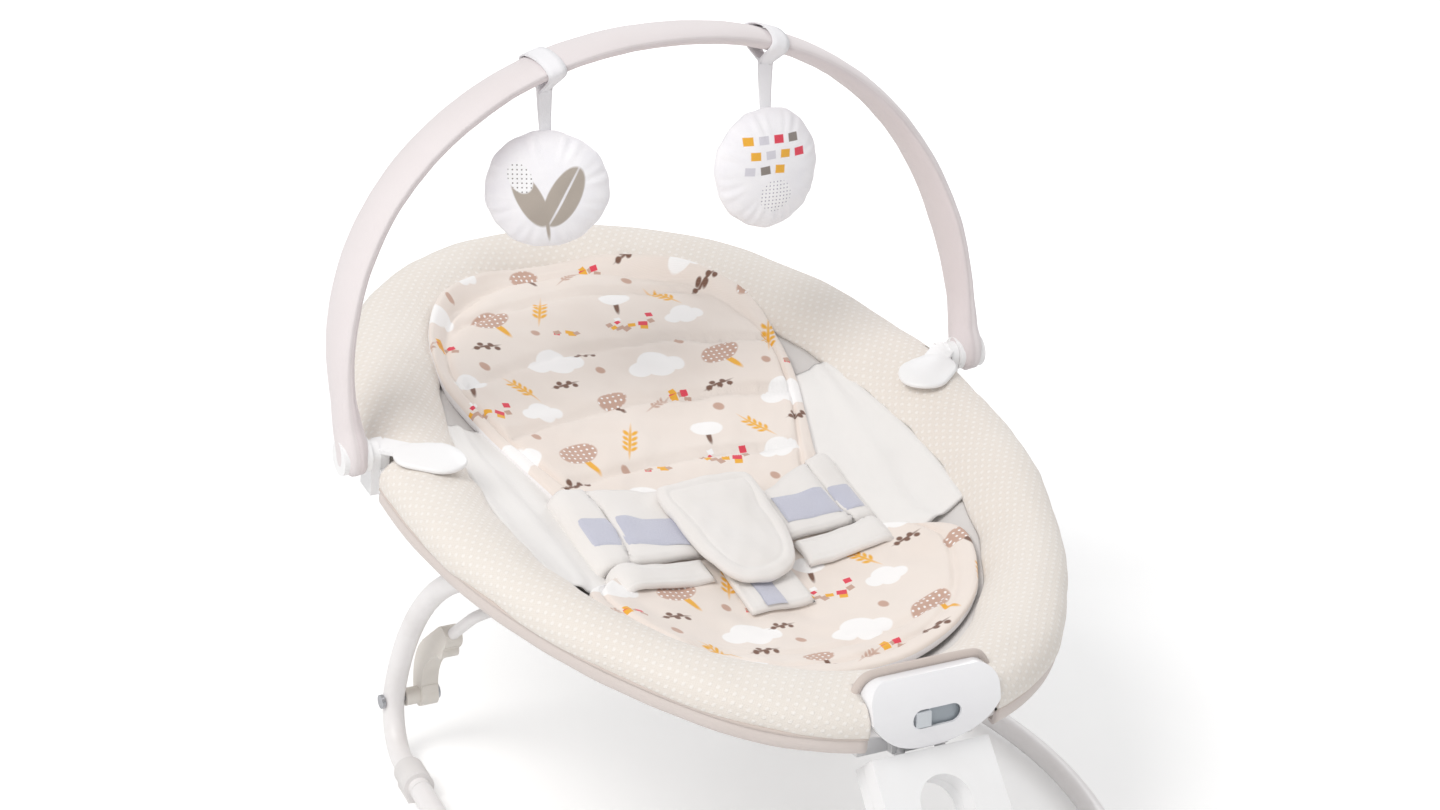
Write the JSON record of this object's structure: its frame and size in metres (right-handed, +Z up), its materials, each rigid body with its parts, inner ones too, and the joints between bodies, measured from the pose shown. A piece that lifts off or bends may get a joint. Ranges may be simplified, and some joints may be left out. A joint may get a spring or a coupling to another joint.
{
  "type": "bouncer seat",
  "caption": "Low baby bouncer: a padded oval seat on a springy tube frame, with a harness, a folding toy arch and a vibration unit at the foot.",
  "frame": {"origin": "centre of the whole part's bounding box on the floor plane", "axes": "+Z up, -Y towards the foot end and the vibration unit, +Y towards the head end, +X to the right of someone facing the foot end"},
  "size_m": [0.5446, 0.7846, 0.572],
  "materials": {
    "tube_paint": "smooth white powder coat",
    "plastic": "satin white moulding",
    "pod_plastic": "glossy white moulding",
    "switch_grey": "satin grey",
    "jacquard": "cream woven fabric with small raised dots",
    "plain_fabric": "plain warm beige binding",
    "pocket_fabric": "smooth light grey cloth",
    "liner_fabric": "soft printed jersey over wadding",
    "harness_fabric": "padded cream cloth",
    "hook_and_loop": "grey looped tape",
    "sleeve_fabric": "smooth beige sleeve",
    "plush": "short white plush",
    "tape": "white woven tape",
    "steel": "zinc plated",
    "pad_rubber": "matt grey",
    "board": "solder mask",
    "cell_case": "plain foil"
  },
  "bodies": {
    "base": {"floor_tube": "tube_paint", "floor_pads_front": "pad_rubber", "floor_pads_rear": "pad_rubber", "spring_arm_left": "tube_paint", "spring_arm_right": "tube_paint", "stand_rivets": "steel"},
    "stand": {"stand_bracket_left": "plastic", "stand_bracket_right": "plastic", "stand_wire": "tube_paint"},
    "seat": {"seat_hoop": "tube_paint", "arm_hub_left": "plastic", "arm_hub_right": "plastic", "leg_front": "plastic", "leg_back": "plastic", "leg_screws": "steel", "seat_cover": "jacquard", "cover_hem": "plain_fabric", "seat_pocket": "pocket_fabric", "side_panel_left": "pocket_fabric", "side_panel_right": "pocket_fabric", "liner_pad": "liner_fabric", "waist_belt_left": "harness_fabric", "waist_belt_right": "harness_fabric", "belt_fastener_left": "hook_and_loop", "belt_fastener_right": "hook_and_loop", "belt_tail_left": "harness_fabric", "belt_tail_right": "harness_fabric", "crotch_strap": "harness_fabric", "crotch_pad": "harness_fabric", "arch_clip_left": "plastic", "arch_clip_right": "plastic", "vib_cover": "pod_plastic", "vib_case": "plastic", "case_screws": "steel", "switch_plate": "switch_grey", "circuit_board": "board", "battery_cell": "cell_case", "battery_contacts": "steel", "vib_motor": "steel"},
    "arch": {"arch_strip": "plastic", "arch_sleeve": "sleeve_fabric", "arch_end_left": "plastic", "arch_end_right": "plastic", "arch_screws": "steel", "toy_loop_left": "tape", "toy_loop_right": "tape"},
    "left_toy": {"toy_left": "plush", "toy_tape_left": "tape"},
    "right_toy": {"toy_right": "plush", "toy_tape_right": "tape"},
    "slider": {"switch_slider": "switch_grey"},
    "weight": {"motor_weight": "steel"},
    "door": {"battery_door": "plastic", "door_screw": "steel"}
  },
  "joints": [
    {"name": "seat_bounce", "type": "hinge", "parent": "base", "child": "seat", "pos_m": [0, -0.37936, 0.012], "axis": [1, 0, 0], "range_deg": [-3, 2], "stiffness_Nm_per_rad": 450, "springref_deg": 1.25, "deforming": ["spring_arm_left", "spring_arm_right"]},
    {"name": "stand_swing", "type": "hinge", "parent": "base", "child": "stand", "pos_m": [0, 0.16664, 0.05], "axis": [1, 0, 0], "range_deg": [0, 60]},
    {"name": "toy_arch_tilt", "type": "hinge", "parent": "seat", "child": "arch", "pos_m": [0, 0.09564, 0.284], "axis": [1, 0, 0], "range_deg": [-60, 20]},
    {"name": "left_toy_swing", "type": "hinge", "parent": "arch", "child": "left_toy", "pos_m": [-0.092, 0.11817, 0.5336], "axis": [1, 0, 0], "range_deg": [-70, 70]},
    {"name": "right_toy_swing", "type": "hinge", "parent": "arch", "child": "right_toy", "pos_m": [0.092, 0.11817, 0.5336], "axis": [1, 0, 0], "range_deg": [-70, 70]},
    {"name": "switch_slide", "type": "slide", "parent": "seat", "child": "slider", "axis": [1, 0, 0], "range_m": [0, 0.014]},
    {"name": "battery_door_swing", "type": "hinge", "parent": "seat", "child": "door", "pos_m": [0, -0.23536, 0.149], "axis": [1, 0, 0], "range_deg": [0, 80]},
    {"name": "motor_spin", "type": "hinge", "parent": "seat", "child": "weight", "pos_m": [0, -0.28336, 0.201], "axis": [1, 0, 0], "continuous": true}
  ]
}
